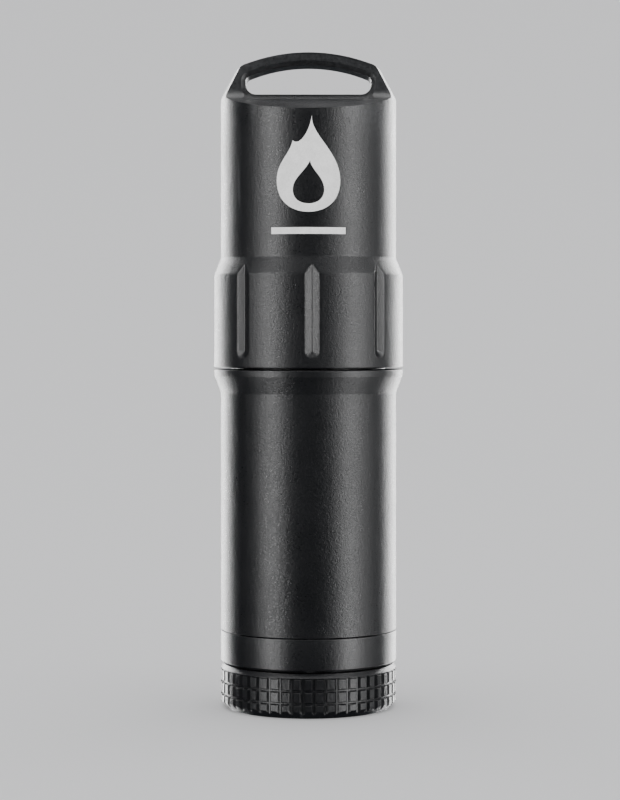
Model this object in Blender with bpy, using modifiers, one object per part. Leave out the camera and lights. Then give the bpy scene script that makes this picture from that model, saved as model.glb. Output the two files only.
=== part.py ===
"""Keychain lighter in a screw-capped aluminium capsule, as an assembly.

Units are metres, +Z up, origin at the centre of the flat base. Lengths below
are given in millimetres and turned into metres by mm().
"""
import math
import bpy
import bmesh
from mathutils import Matrix, Vector

# ---------------------------------------------------------------- dimensions
R_BODY = 10.92          # barrel, base ring, plug and upper cap radius
R_COLLAR = 11.78        # fluted collar at the foot of the cap
Z_TOP = 81.3            # overall length
Z_SEAM = 42.05          # cap rim over body lip
Z_RING = 9.44           # seam between base ring and body
Z_PLUG = 5.35           # top of the knurled plug head

NECK_ROOT, NECK_CREST = 8.75, 9.50      # thread on the body's neck
CAP_ROOT, CAP_CREST = 9.75, 9.05        # thread in the cap
CAP_LEAD, CAP_STARTS = 6.0, 3           # quick three-start thread
PLUG_ROOT, PLUG_CREST = 7.20, 7.85      # thread on the plug
RING_ROOT, RING_CREST = 8.05, 7.45      # thread in the base ring
PLUG_LEAD = 1.25

R_CAVITY = 8.30         # cap bore above the thread
Z_CAVITY = 72.2
R_TANK = 8.40           # fuel reservoir bore
FLUTES, FLUTE_WIDE, FLUTE_DEEP = 8, 1.84, 0.48
FLUTE_TURN = 2.2        # degrees, first flute from the front centre
KNURLS = 48
SLOT_HALF, SLOT_FLOOR, SLOT_APEX, SLOT_ARC = 7.78, 75.9, 79.6, 20.0

WHEEL_X, WHEEL_Z, WHEEL_R, WHEEL_HALF = -2.4, 59.4, 3.4, 1.8
WICK_X = 3.4
SEG = 36
THREAD_SEG = 24


def mm(v):
    return v * 0.001


# ---------------------------------------------------------------- scene setup
for ob in list(bpy.data.objects):
    bpy.data.objects.remove(ob, do_unlink=True)

PARTS = bpy.data.collections.new("capsule_lighter")
CUTTERS = bpy.data.collections.new("cutters")
bpy.context.scene.collection.children.link(PARTS)
bpy.context.scene.collection.children.link(CUTTERS)


def material(name, color, rough, metal):
    m = bpy.data.materials.new(name)
    m.use_nodes = True
    b = m.node_tree.nodes["Principled BSDF"]
    b.inputs["Base Color"].default_value = (*color, 1.0)
    b.inputs["Roughness"].default_value = rough
    b.inputs["Metallic"].default_value = metal
    return m


ANODISED = (0.016, 0.017, 0.019)
MATS = {
    "cap": (ANODISED, 0.36, 0.9),
    "body": (ANODISED, 0.36, 0.9),
    "base_ring": ((0.020, 0.021, 0.023), 0.32, 0.9),
    "fuel_plug": (ANODISED, 0.38, 0.9),
    "cap_gasket": ((0.03, 0.03, 0.03), 0.8, 0.0),
    "neck_oring": ((0.02, 0.02, 0.02), 0.6, 0.0),
    "plug_oring": ((0.021, 0.02, 0.02), 0.6, 0.0),
    "head_oring": ((0.022, 0.02, 0.02), 0.6, 0.0),
    "lighter_head": ((0.62, 0.62, 0.64), 0.35, 1.0),
    "spark_wheel": ((0.30, 0.29, 0.28), 0.4, 1.0),
    "wheel_axle": ((0.55, 0.55, 0.56), 0.25, 1.0),
    "flint_tube": ((0.76, 0.58, 0.28), 0.3, 1.0),
    "flint": ((0.20, 0.19, 0.19), 0.6, 0.8),
    "flint_pusher": ((0.74, 0.56, 0.27), 0.32, 1.0),
    "flint_spring": ((0.60, 0.60, 0.60), 0.25, 1.0),
    "flint_screw": ((0.75, 0.57, 0.28), 0.3, 1.0),
    "wick_sleeve": ((0.77, 0.60, 0.30), 0.28, 1.0),
    "wick": ((0.86, 0.83, 0.74), 0.9, 0.0),
    "wadding_upper": ((0.90, 0.89, 0.85), 0.95, 0.0),
    "wadding_middle": ((0.89, 0.88, 0.85), 0.95, 0.0),
    "wadding_lower": ((0.90, 0.88, 0.84), 0.95, 0.0),
    "felt_pad": ((0.72, 0.70, 0.66), 0.95, 0.0),
}


def add(name, mesh, cutter=False):
    ob = bpy.data.objects.new(name, mesh)
    if cutter:
        CUTTERS.objects.link(ob)
        ob.hide_render = True
        ob.display_type = "WIRE"
    else:
        PARTS.objects.link(ob)
        color, rough, metal = MATS[name]
        ob.data.materials.append(material(name, color, rough, metal))
    return ob


def screw(name, profile, segs=SEG, cutter=False, closed=True):
    """Turned solid. The profile is (radius, z) in mm, down the outer side and
    back up the inner side; an open one starts and ends on the axis."""
    mesh = bpy.data.meshes.new(name)
    verts = [(mm(r), 0.0, mm(z)) for r, z in profile]
    n = len(verts)
    edges = [(i, i + 1) for i in range(n - 1)]
    if closed:
        edges.append((n - 1, 0))
    mesh.from_pydata(verts, edges, [])
    ob = add(name, mesh, cutter)
    md = ob.modifiers.new("turn", "SCREW")
    md.angle = math.tau
    md.steps = segs
    md.render_steps = segs
    md.use_merge_vertices = True
    md.merge_threshold = 0.00001
    md.use_smooth_shade = True
    return ob


def boolean(ob, cutter, operation="DIFFERENCE"):
    md = ob.modifiers.new(cutter.name, "BOOLEAN")
    md.object = cutter
    md.operation = operation
    md.solver = "EXACT"
    return md


def from_bmesh(name, bm, cutter=False):
    bmesh.ops.recalc_face_normals(bm, faces=bm.faces)
    mesh = bpy.data.meshes.new(name)
    bm.to_mesh(mesh)
    bm.free()
    return add(name, mesh, cutter)


def extrude_outline(bm, outline, depth, place):
    """Adds a prism to bm: outline is (u, v) in mm, run from -depth to depth
    along the third axis; place maps (u, v, w) in mm to a point in mm."""
    rings = []
    for w in (-depth, depth):
        rings.append([bm.verts.new([mm(c) for c in place(u, v, w)]) for u, v in outline])
    n = len(outline)
    bm.faces.new(rings[0][::-1])
    bm.faces.new(rings[1])
    for i in range(n):
        j = (i + 1) % n
        bm.faces.new((rings[0][i], rings[0][j], rings[1][j], rings[1][i]))


def cylinder(bm, r, z0, z1, x=0.0, y=0.0, segs=24, axis="Z"):
    """A primitive cylinder from z0 to z1 (mm) along the axis."""
    spin = {"Z": Matrix(), "Y": Matrix.Rotation(-math.pi / 2, 4, "X"),
            "X": Matrix.Rotation(math.pi / 2, 4, "Y")}[axis]
    mid = mm((z0 + z1) / 2)
    at = {"Z": Vector((mm(x), mm(y), mid)), "Y": Vector((mm(x), mid, mm(y))),
          "X": Vector((mid, mm(x), mm(y)))}[axis]
    bmesh.ops.create_cone(bm, cap_ends=True, segments=segs, radius1=mm(r), radius2=mm(r),
                          depth=mm(z1 - z0), matrix=Matrix.Translation(at) @ spin)


def arc(cx, cz, r, a0, a1, n):
    """Points on an arc, degrees."""
    return [(cx + r * math.cos(math.radians(a0 + (a1 - a0) * i / n)),
             cz + r * math.sin(math.radians(a0 + (a1 - a0) * i / n))) for i in range(n + 1)]


def helix_ridges(name, r_base, r_crest, wide_base, wide_crest, z0, z1, lead, starts,
                 offset=0.0, segs=THREAD_SEG, bury=0.2):
    """Thread ridges: one loft per start, from z0 to z1 (mm), right-handed, with
    both ends running out into the wall. r_base is the wall and r_crest the top
    of the ridge, which may be inside or outside the wall."""
    bm = bmesh.new()
    way = 1.0 if r_crest > r_base else -1.0
    turns = (z1 - z0) / lead
    steps = max(6, round(turns * segs))
    for s in range(starts):
        start = math.tau * s / starts
        rings = []
        for i in range(steps + 1):
            t = i / steps
            a = start + t * turns * math.tau
            zc = z0 + t * (z1 - z0) + offset
            grow = min(1.0, min(i, steps - i) / 2.0 + 0.1)
            crest = r_base + (r_crest - r_base) * grow
            wc = wide_crest * (0.4 + 0.6 * grow)
            slope = (wide_base - wc) / 2 / max(abs(crest - r_base), 0.05)
            foot = wide_base / 2 + slope * bury * min(grow, 1.0)
            pts = [(r_base - way * bury, -foot), (crest, -wc / 2), (crest, wc / 2),
                   (r_base - way * bury, foot)]
            rings.append([bm.verts.new((mm(r * math.cos(a)), mm(r * math.sin(a)), mm(zc + dz)))
                          for r, dz in pts])
        k = len(rings[0])
        bm.faces.new(rings[0])
        bm.faces.new(rings[-1][::-1])
        for a, b in zip(rings, rings[1:]):
            for i in range(k):
                j = (i + 1) % k
                bm.faces.new((a[i], b[i], b[j], a[j]))
    return from_bmesh(name, bm, cutter=True)


# ---------------------------------------------------------------- cap
# outer side: collar, chamfer, barrel, top cone, rounded edge and shallow dome
dome = [(21.8 * math.sin(a), 81.3 - 21.8 + 21.8 * math.cos(a))
        for a in [math.radians(d) for d in (3, 7, 11, 15, 19, 21.5)]]
cap_profile = [(0.0, Z_TOP)] + dome + [(8.42, 79.62), (8.78, 79.4), (9.02, 79.05)] + [
    (R_BODY - 0.06, 75.62), (R_BODY, 75.35),
    (R_BODY, 55.72), (R_COLLAR, 53.6),
    (R_COLLAR, 42.35), (R_COLLAR - 0.15, 42.17),
    (9.95, 42.17), (9.90, 42.25),
    (9.90, 45.1), (CAP_ROOT, 45.25),
    (CAP_ROOT, 51.5), (R_CAVITY, 51.5),
    (R_CAVITY, 71.2), (7.3, Z_CAVITY), (0.0, Z_CAVITY)]
cap = screw("cap", cap_profile, closed=False)

# loop: the front and back of the top are milled away, leaving a drafted tab
# that blends into a shoulder sloping down to the rim
bm = bmesh.new()
shoulder = [(2.55, 82.5), (2.60, 79.8), (3.25, 76.55)] + \
    arc(4.85, 76.75, 1.6, 187, 255, 5) + [(R_BODY + 0.1, 73.45), (13.0, 72.9), (13.0, 82.5)]
for side in (-1, 1):
    extrude_outline(bm, shoulder, 13.5, lambda u, v, w, s=side: (w, s * u, v))
loop_faces = from_bmesh("loop_faces_cut", bm, cutter=True)

# the opening for a ring, with a curved bar over it
bm = bmesh.new()
half = 7.3
edge = SLOT_APEX - SLOT_ARC + math.sqrt(SLOT_ARC ** 2 - half ** 2)
top = [(x, SLOT_APEX - SLOT_ARC + math.sqrt(SLOT_ARC ** 2 - x * x))
       for x in [half * k / 5 for k in range(5, -6, -1)]]
opening = arc(-SLOT_HALF + 1.3, SLOT_FLOOR + 1.3, 1.3, 180, 270, 5) + \
    arc(SLOT_HALF - 1.3, SLOT_FLOOR + 1.3, 1.3, -90, 0, 5) + [(SLOT_HALF, edge - 0.5)] + \
    top + [(-SLOT_HALF, edge - 0.5)]
extrude_outline(bm, opening, 6.0, lambda u, v, w: (u, w, v))
loop_slot = from_bmesh("loop_slot_cut", bm, cutter=True)

# eight V flutes around the collar, rounded at their lower ends
bm = bmesh.new()
half_w = FLUTE_WIDE / 2
for k in range(FLUTES):
    turn = Matrix.Rotation(math.radians(FLUTE_TURN + k * 360.0 / FLUTES), 4, "Z")
    deep, out = R_COLLAR - FLUTE_DEEP, R_COLLAR + 0.6
    wide = half_w * (out - deep) / FLUTE_DEEP

    def at(x, y, z):
        return bm.verts.new(turn @ Vector((mm(x), mm(-y), mm(z))))
    tip, foot = 57.5, 44.3
    low = [at(0, deep, foot), at(wide, out, foot), at(-wide, out, foot)]
    high = [at(0, deep, tip), at(wide, out, tip), at(-wide, out, tip)]
    end = [at(wide * math.sin(math.radians(d)), out, foot - wide * math.cos(math.radians(d)))
           for d in (-60, -30, 0, 30, 60)]
    rim = [low[2]] + end + [low[1]]
    for a, b in zip(rim, rim[1:]):
        bm.faces.new((low[0], a, b))
    bm.faces.new((high[0], high[1], high[2]))
    bm.faces.new((low[0], low[1], high[1], high[0]))
    bm.faces.new((high[0], high[2], low[2], low[0]))
    bm.faces.new([low[1]] + end[::-1] + [low[2]])
    bm.faces.new((low[2], high[2], high[1], low[1]))
flutes = from_bmesh("flutes_cut", bm, cutter=True)

cap_thread = helix_ridges("cap_thread_ridges", CAP_ROOT, CAP_CREST, 1.15, 0.5, 46.1, 50.6,
                          CAP_LEAD, CAP_STARTS, offset=0.0)
boolean(cap, loop_faces)
boolean(cap, loop_slot)
boolean(cap, flutes)
boolean(cap, cap_thread, "UNION")

screw("cap_gasket", [(9.0, 51.3), (9.0, 50.55), (8.0, 50.55), (8.0, 51.3)])

# ---------------------------------------------------------------- body
body = screw("body", [
    (7.60, 50.3), (8.55, 50.3), (NECK_ROOT, 50.1), (NECK_ROOT, 45.2), (9.60, 44.85),
    (9.60, 44.5), (8.35, 44.5), (8.35, 43.0), (9.60, 43.0), (9.60, 41.93),
    (R_COLLAR - 0.2, 41.93), (R_COLLAR - 0.04, 41.78), (R_COLLAR - 0.08, 41.05),
    (R_BODY, 39.04), (R_BODY, 9.82), (R_BODY - 0.1, 9.72), (9.40, 9.72), (9.40, 13.4),
    (R_TANK, 13.4), (R_TANK, 38.3), (6.90, 40.3), (6.90, 43.9), (7.60, 43.9)])
# male ridges sit half a pitch from the cap's
neck_thread = helix_ridges("neck_thread_ridges", NECK_ROOT, NECK_CREST, 1.15, 0.5, 46.1, 49.5,
                           CAP_LEAD, CAP_STARTS, offset=-1.0)
boolean(body, neck_thread, "UNION")


def ring(name, r, section, z, segs=32):
    """O-ring: a torus of round section about the Z axis."""
    pts = [(r + section * math.cos(a), z + section * math.sin(a))
           for a in [-math.tau * k / 8 + math.tau / 16 for k in range(8)]]
    return screw(name, pts, segs)


ring("neck_oring", 9.05, 0.55, 43.75)

# ---------------------------------------------------------------- base ring
base_ring = screw("base_ring", [
    (RING_ROOT, 13.1), (9.0, 13.1), (9.15, 12.95), (9.15, 9.58), (R_BODY - 0.08, 9.58),
    (R_BODY, 9.50), (R_BODY, 5.95), (10.55, 5.65), (8.50, 5.65), (8.50, 6.9),
    (RING_ROOT, 6.95)])
ring_thread = helix_ridges("ring_thread_ridges", RING_ROOT, RING_CREST, 0.70, 0.30, 7.6, 12.2,
                           PLUG_LEAD, 1)
boolean(base_ring, ring_thread, "UNION")

# ---------------------------------------------------------------- fuel plug
plug = screw("fuel_plug", [
    (0.0, 4.5), (6.0, 4.5), (6.0, 11.0), (6.95, 11.0), (PLUG_ROOT, 10.75),
    (PLUG_ROOT, Z_PLUG), (10.50, Z_PLUG), (R_BODY, 4.76),
    (R_BODY, 0.90), (10.05, 0.0), (0.0, 0.0)], KNURLS, closed=False)
bm = bmesh.new()
for k in range(KNURLS):
    turn = Matrix.Rotation(math.tau * (k + 0.5) / KNURLS, 4, "Z")
    r0, r1, w = R_BODY - 0.33, R_BODY + 0.4, 0.24 * 0.73 / 0.33
    pts = []
    for z in (-0.3, 4.72):
        pts.append([bm.verts.new(turn @ Vector((mm(r), mm(s), mm(z))))
                    for r, s in ((r0, 0.0), (r1, w), (r1, -w))])
    bm.faces.new(pts[0])
    bm.faces.new(pts[1][::-1])
    for i in range(3):
        j = (i + 1) % 3
        bm.faces.new((pts[0][i], pts[1][i], pts[1][j], pts[0][j]))
knurl = from_bmesh("knurl_cut", bm, cutter=True)
plug_thread = helix_ridges("plug_thread_ridges", PLUG_ROOT, PLUG_CREST, 0.70, 0.30, 7.6, 10.3,
                           PLUG_LEAD, 1, offset=-0.625)
boolean(plug, knurl)
boolean(plug, plug_thread, "UNION")
ring("plug_oring", 7.85, 0.48, 6.05)

# ---------------------------------------------------------------- lighter head
head = screw("lighter_head", [
    (0.0, 54.0), (6.75, 54.0), (6.90, 53.85), (6.90, 50.3), (7.40, 50.2), (7.40, 48.2),
    (6.75, 48.2), (6.75, 46.9), (7.40, 46.9), (7.40, 44.3), (7.2, 44.1), (0.0, 44.1)],
    closed=False)
# two cheeks carry the wheel
bm = bmesh.new()
cheek = [(-5.4, 53.6), (-0.9, 53.6), (-0.9, 55.2)] + \
    arc(WHEEL_X, WHEEL_Z, 2.0, -8, 188, 10) + [(-5.4, 56.0)]
cheek = [(min(max(x, -5.4), 0.6), z) for x, z in cheek]
for side in (-1, 1):
    extrude_outline(bm, cheek, 0.65, lambda u, v, w, s=side: (u, s * 2.75 + w, v))
cheeks = from_bmesh("cheeks_add", bm, cutter=True)
bm = bmesh.new()
cylinder(bm, 0.85, -4.5, 4.5, WHEEL_X, WHEEL_Z, 20, "Y")
axle_hole = from_bmesh("axle_hole_cut", bm, cutter=True)
bm = bmesh.new()
cylinder(bm, 2.10, 40, 60, WHEEL_X, 0, 28)
tube_hole = from_bmesh("tube_hole_cut", bm, cutter=True)
bm = bmesh.new()
cylinder(bm, 1.75, 40, 60, WICK_X, 0, 28)
wick_hole = from_bmesh("wick_hole_cut", bm, cutter=True)
boolean(head, cheeks, "UNION")
boolean(head, axle_hole)
boolean(head, tube_hole)
boolean(head, wick_hole)
ring("head_oring", 7.16, 0.36, 47.55)

# ---------------------------------------------------------------- spark wheel
wheel_at = Vector((mm(WHEEL_X), 0.0, mm(WHEEL_Z)))
bm = bmesh.new()
teeth, across = 30, (-WHEEL_HALF, 0.0, WHEEL_HALF)
rings = []
for w in across:
    row = []
    for k in range(teeth):
        for step, r in ((0.0, WHEEL_R), (0.62, WHEEL_R - 0.28)):
            a = math.tau * (k + step + 0.22 * abs(w) / WHEEL_HALF) / teeth
            row.append(bm.verts.new((mm(r * math.cos(a)), mm(w), mm(r * math.sin(a)))))
    rings.append(row)
bm.faces.new(rings[0])
bm.faces.new(rings[-1][::-1])
n = len(rings[0])
for a, b in zip(rings, rings[1:]):
    for i in range(n):
        j = (i + 1) % n
        bm.faces.new((a[i], b[i], b[j], a[j]))
wheel = from_bmesh("spark_wheel", bm)
wheel.location = wheel_at
bm = bmesh.new()
cylinder(bm, 1.0, -4.0, 4.0, WHEEL_X, WHEEL_Z, 20, "Y")
bore = from_bmesh("wheel_bore_cut", bm, cutter=True)
boolean(wheel, bore)

# rivet with a domed head at each end
axle = screw("wheel_axle", [
    (0.0, 4.30), (0.8, 4.18), (1.30, 3.85), (1.35, 3.55), (0.72, 3.55), (0.72, -3.55),
    (1.35, -3.55), (1.30, -3.85), (0.8, -4.18), (0.0, -4.30)], 16, closed=False)
axle.rotation_euler = (math.pi / 2, 0, 0)
axle.location = wheel_at


def at_x(ob, x):
    ob.location = (mm(x), 0.0, 0.0)
    return ob


# ---------------------------------------------------------------- flint system
at_x(screw("flint_tube", [(1.40, 54.9), (1.95, 54.9), (1.95, 14.2), (1.40, 14.2)], 20), WHEEL_X)
at_x(screw("flint", [(0.0, 55.75), (1.1, 55.75), (1.2, 55.65), (1.2, 50.8), (1.1, 50.7),
                     (0.0, 50.7)], 16, closed=False), WHEEL_X)
at_x(screw("flint_pusher", [(0.0, 50.4), (1.15, 50.4), (1.2, 50.3), (1.2, 48.3), (0.6, 48.2),
                            (0.6, 46.0), (0.0, 45.8)], 16, closed=False), WHEEL_X)

spline_pts = []
turns, per, r_coil = 12, 10, 0.98
z_low, z_high = 18.75, 47.75
for i in range(turns * per + 1):
    a = math.tau * i / per
    t = i / (turns * per)
    ease = t + 0.022 * math.sin(math.tau * t) * -1.0
    spline_pts.append((mm(r_coil * math.cos(a)), mm(r_coil * math.sin(a)),
                       mm(z_low + (z_high - z_low) * ease)))
curve = bpy.data.curves.new("flint_spring", "CURVE")
curve.dimensions = "3D"
curve.bevel_depth = mm(0.2)
curve.bevel_resolution = 1
curve.use_fill_caps = True
sp = curve.splines.new("POLY")
sp.points.add(len(spline_pts) - 1)
for p, co in zip(sp.points, spline_pts):
    p.co = (*co, 1.0)
spring = bpy.data.objects.new("flint_spring", curve)
PARTS.objects.link(spring)
curve.materials.append(material("flint_spring", *MATS["flint_spring"]))
spring.location = (mm(WHEEL_X), 0, 0)

flint_screw = at_x(screw("flint_screw", [
    (0.0, 18.3), (1.0, 18.3), (1.2, 18.1), (1.2, 13.9), (2.5, 13.9), (2.65, 13.75),
    (2.65, 12.1), (2.45, 11.9), (0.0, 11.9)], 20, closed=False), WHEEL_X)
bm = bmesh.new()
bmesh.ops.create_cube(bm, size=1.0, matrix=Matrix.Translation((mm(WHEEL_X), 0, mm(11.9)))
                      @ Matrix.Diagonal((mm(8), mm(0.7), mm(1.8), 1)))
boolean(flint_screw, from_bmesh("driver_slot_cut", bm, cutter=True))

# ---------------------------------------------------------------- wick
at_x(screw("wick_sleeve", [
    (1.25, 57.4), (1.35, 57.55), (1.75, 57.55), (1.85, 57.35), (1.85, 57.1), (1.60, 56.9),
    (1.60, 45.0), (1.25, 45.0)], 20), WICK_X)
wick_line = [(WICK_X, 0.0, 60.6), (WICK_X, 0.0, 57.0), (WICK_X, 0.0, 52.0), (WICK_X, 0.0, 46.0),
             (WICK_X, 0.0, 40.0), (WICK_X, 0.0, 34.0), (WICK_X, 0.0, 28.0), (WICK_X, 0.0, 22.0)]
curve = bpy.data.curves.new("wick", "CURVE")
curve.dimensions = "3D"
curve.bevel_depth = mm(1.05)
curve.bevel_resolution = 3
curve.use_fill_caps = True
sp = curve.splines.new("POLY")
sp.points.add(len(wick_line) - 1)
for p, co in zip(sp.points, wick_line):
    p.co = (*[mm(c) for c in co], 1.0)
wick = bpy.data.objects.new("wick", curve)
PARTS.objects.link(wick)
curve.materials.append(material("wick", *MATS["wick"]))


# ---------------------------------------------------------------- wadding
def pad(name, z0, z1, r=8.1, round_=0.9, wick_through=True):
    """A cotton pad: a turned puck with soft edges and holes for tube and wick."""
    pts = [(0.0, z1), (r - round_, z1), (r - 0.25 * round_, z1 - 0.3 * round_),
           (r, z1 - round_), (r, z0 + round_), (r - 0.25 * round_, z0 + 0.3 * round_),
           (r - round_, z0), (0.0, z0)]
    ob = screw(name, pts, 24, closed=False)
    holes = bmesh.new()
    cylinder(holes, 2.2, z0 - 1, z1 + 1, WHEEL_X, 0, 16)
    if wick_through:
        cylinder(holes, 1.35, z0 - 1, z1 + 1, WICK_X, 0, 12)
    boolean(ob, from_bmesh(name + "_holes_cut", holes, cutter=True))
    return ob


pad("wadding_upper", 30.2, 38.0)
pad("wadding_middle", 22.6, 29.9)
pad("wadding_lower", 16.9, 22.3, wick_through=False)
pad("felt_pad", 14.2, 16.6, round_=0.3, wick_through=False)

# the wick ends inside the middle pad, just above the lower one
bpy.data.objects["wick"].data.splines[0].points[-1].co.z = mm(22.7)

for ob in PARTS.objects:
    if ob.type == "MESH":
        ob.data.shade_smooth()
        ob.data.set_sharp_from_angle(angle=math.radians(35))
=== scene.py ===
"""Looks for the capsule lighter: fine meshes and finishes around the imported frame."""
import math
import bpy
import bmesh
import numpy as np
from mathutils import Matrix, Vector, noise


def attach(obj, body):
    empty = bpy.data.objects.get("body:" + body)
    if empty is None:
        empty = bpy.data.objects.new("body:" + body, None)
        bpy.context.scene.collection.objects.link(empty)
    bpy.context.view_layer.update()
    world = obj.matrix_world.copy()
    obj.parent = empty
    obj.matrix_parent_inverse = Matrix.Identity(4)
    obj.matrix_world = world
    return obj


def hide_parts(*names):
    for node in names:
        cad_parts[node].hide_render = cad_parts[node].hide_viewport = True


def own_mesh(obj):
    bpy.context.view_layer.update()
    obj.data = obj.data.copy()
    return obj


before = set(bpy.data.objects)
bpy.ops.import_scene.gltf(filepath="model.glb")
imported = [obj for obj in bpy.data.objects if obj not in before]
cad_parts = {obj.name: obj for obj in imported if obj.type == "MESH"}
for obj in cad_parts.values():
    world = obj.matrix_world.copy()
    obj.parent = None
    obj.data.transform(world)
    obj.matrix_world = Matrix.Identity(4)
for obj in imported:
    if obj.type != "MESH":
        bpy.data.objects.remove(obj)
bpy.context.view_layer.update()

sc = bpy.context.scene

# ------------------------------------------------------------------ helpers
# shapes are drawn in millimetres and written in metres


def obj_from(name, verts, faces, smooth=True, sharp=30.0):
    me = bpy.data.meshes.new(name)
    me.from_pydata([(x * 0.001, y * 0.001, z * 0.001) for x, y, z in verts], [], faces)
    me.validate()
    bm = bmesh.new()
    bm.from_mesh(me)
    bmesh.ops.recalc_face_normals(bm, faces=bm.faces)
    bm.to_mesh(me)
    bm.free()
    ob = bpy.data.objects.new(name, me)
    sc.collection.objects.link(ob)
    if smooth:
        me.shade_smooth()
        me.set_sharp_from_angle(angle=math.radians(sharp))
    return ob


def fillet(points, closed=True):
    """(r, z, radius) corners to a polyline with round corners. Radius 0 keeps a corner."""
    out, n = [], len(points)
    for i, p in enumerate(points):
        rad = p[2] if len(p) > 2 else 0.0
        if rad <= 0 or (not closed and i in (0, n - 1)):
            out.append((p[0], p[1]))
            continue
        a = Vector((points[i - 1][0], points[i - 1][1]))
        b = Vector((p[0], p[1]))
        c = Vector((points[(i + 1) % n][0], points[(i + 1) % n][1]))
        u, v = (a - b), (c - b)
        lu, lv = u.length, v.length
        u.normalize(); v.normalize()
        ang = math.acos(max(-1, min(1, u.dot(v))))
        if ang > math.pi - 0.02:
            out.append((p[0], p[1]))
            continue
        t = min(rad / math.tan(ang / 2), lu * 0.49, lv * 0.49)
        r = t * math.tan(ang / 2)
        mid = (u + v).normalized()
        cen = b + mid * (r / math.sin(ang / 2))
        s, e = b + u * t, b + v * t
        a0 = math.atan2(s.y - cen.y, s.x - cen.x)
        a1 = math.atan2(e.y - cen.y, e.x - cen.x)
        d = (a1 - a0 + math.pi) % math.tau - math.pi
        k = max(2, int(abs(d) / math.radians(16)) + 1)
        for j in range(k + 1):
            aa = a0 + d * j / k
            out.append((cen.x + r * math.cos(aa), cen.y + r * math.sin(aa)))
    return out


def lathe(name, pts, segs=160, closed=True, rfun=None):
    """Turned mesh from (r, z). An open profile starts and ends on the axis. rfun(r, a, z) may change the radius."""
    verts, rows = [], []
    angles = [math.tau * k / segs for k in range(segs)]
    for r, z in pts:
        if r < 1e-6:
            rows.append([len(verts)])
            verts.append((0.0, 0.0, z))
            continue
        row = []
        for a in angles:
            rr = r if rfun is None else rfun(r, a, z)
            row.append(len(verts))
            verts.append((rr * math.cos(a), rr * math.sin(a), z))
        rows.append(row)
    faces = []
    pairs = list(zip(rows, rows[1:])) + ([(rows[-1], rows[0])] if closed else [])
    for a, b in pairs:
        if len(a) == 1 and len(b) == 1:
            continue
        for i in range(segs):
            j = (i + 1) % segs
            if len(a) == 1:
                faces.append((a[0], b[i], b[j]))
            elif len(b) == 1:
                faces.append((a[j], a[i], b[0]))
            else:
                faces.append((a[i], b[i], b[j], a[j]))
    return obj_from(name, verts, faces)


def grid(name, angles, rows, rfun, cap_low=True, cap_high=True):
    """A closed turned skin whose radius is rfun(angle, z); rows may be (z) or (r, z)."""
    verts, idx = [], []
    n = len(angles)
    for z in rows:
        row = []
        for a in angles:
            r, zz = rfun(a, z)
            row.append(len(verts))
            verts.append((r * math.cos(a), r * math.sin(a), zz))
        idx.append(row)
    faces = []
    for a, b in zip(idx, idx[1:]):
        for i in range(n):
            j = (i + 1) % n
            faces.append((a[i], a[j], b[j], b[i]))
    for row, want, flip in ((idx[0], cap_low, True), (idx[-1], cap_high, False)):
        if want:
            z = verts[row[0]][2]
            c = len(verts)
            verts.append((0, 0, z))
            for i in range(n):
                j = (i + 1) % n
                faces.append((row[j], row[i], c) if flip else (row[i], row[j], c))
    return obj_from(name, verts, faces)


def ridges(name, r_base, r_crest, wide_base, wide_crest, z0, z1, lead, starts, offset=0.0, segs=72, bury=0.2):
    """Thread ridges, right-handed, with rounded crests and run-outs."""
    verts, faces = [], []
    way = 1.0 if r_crest > r_base else -1.0
    turns = (z1 - z0) / lead
    steps = max(8, round(turns * segs))
    run = segs / 12.0
    for s in range(starts):
        start = math.tau * s / starts
        rings = []
        for i in range(steps + 1):
            t = i / steps
            a = start + t * turns * math.tau
            zc = z0 + t * (z1 - z0) + offset
            g = min(1.0, min(i, steps - i) / run)
            g = 0.06 + 0.94 * g * g * (3 - 2 * g)
            crest = r_base + (r_crest - r_base) * g
            wc = wide_crest * (0.35 + 0.65 * g)
            h = (crest - r_base)
            foot = wide_base / 2
            sl = (foot - wc / 2)
            pts = [(r_base - way * bury, -foot - sl * 0.1), (r_base + h * 0.06, -foot + sl * 0.05),
                   (crest - h * 0.16, -wc / 2 - sl * 0.13), (crest, -wc / 2 + wc * 0.16),
                   (crest, wc / 2 - wc * 0.16), (crest - h * 0.16, wc / 2 + sl * 0.13),
                   (r_base + h * 0.06, foot - sl * 0.05), (r_base - way * bury, foot + sl * 0.1)]
            ring = []
            for r, dz in pts:
                ring.append(len(verts))
                verts.append((r * math.cos(a), r * math.sin(a), zc + dz))
            rings.append(ring)
        k = len(rings[0])
        faces.append(tuple(rings[0]))
        faces.append(tuple(rings[-1][::-1]))
        for a, b in zip(rings, rings[1:]):
            for i in range(k):
                j = (i + 1) % k
                faces.append((a[i], b[i], b[j], a[j]))
    return obj_from(name, verts, faces)


def prism(name, outline, depth, place):
    """outline (u, v) run from -depth to +depth; place gives the point."""
    n = len(outline)
    verts = [place(u, v, -depth) for u, v in outline] + [place(u, v, depth) for u, v in outline]
    faces = [tuple(range(n))[::-1], tuple(range(n, 2 * n))]
    faces += [(i, (i + 1) % n, n + (i + 1) % n, n + i) for i in range(n)]
    return obj_from(name, verts, faces)


def loft(name, rings):
    """Closed loft through rings of equal length, first and last filled."""
    verts, idx = [], []
    for ring in rings:
        idx.append(list(range(len(verts), len(verts) + len(ring))))
        verts += ring
    n = len(rings[0])
    faces = [tuple(idx[0][::-1]), tuple(idx[-1])]
    for a, b in zip(idx, idx[1:]):
        faces += [(a[i], a[(i + 1) % n], b[(i + 1) % n], b[i]) for i in range(n)]
    return obj_from(name, verts, faces)


def arc(cx, cz, r, a0, a1, n):
    return [(cx + r * math.cos(math.radians(a0 + (a1 - a0) * i / n)),
             cz + r * math.sin(math.radians(a0 + (a1 - a0) * i / n))) for i in range(n + 1)]


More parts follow.
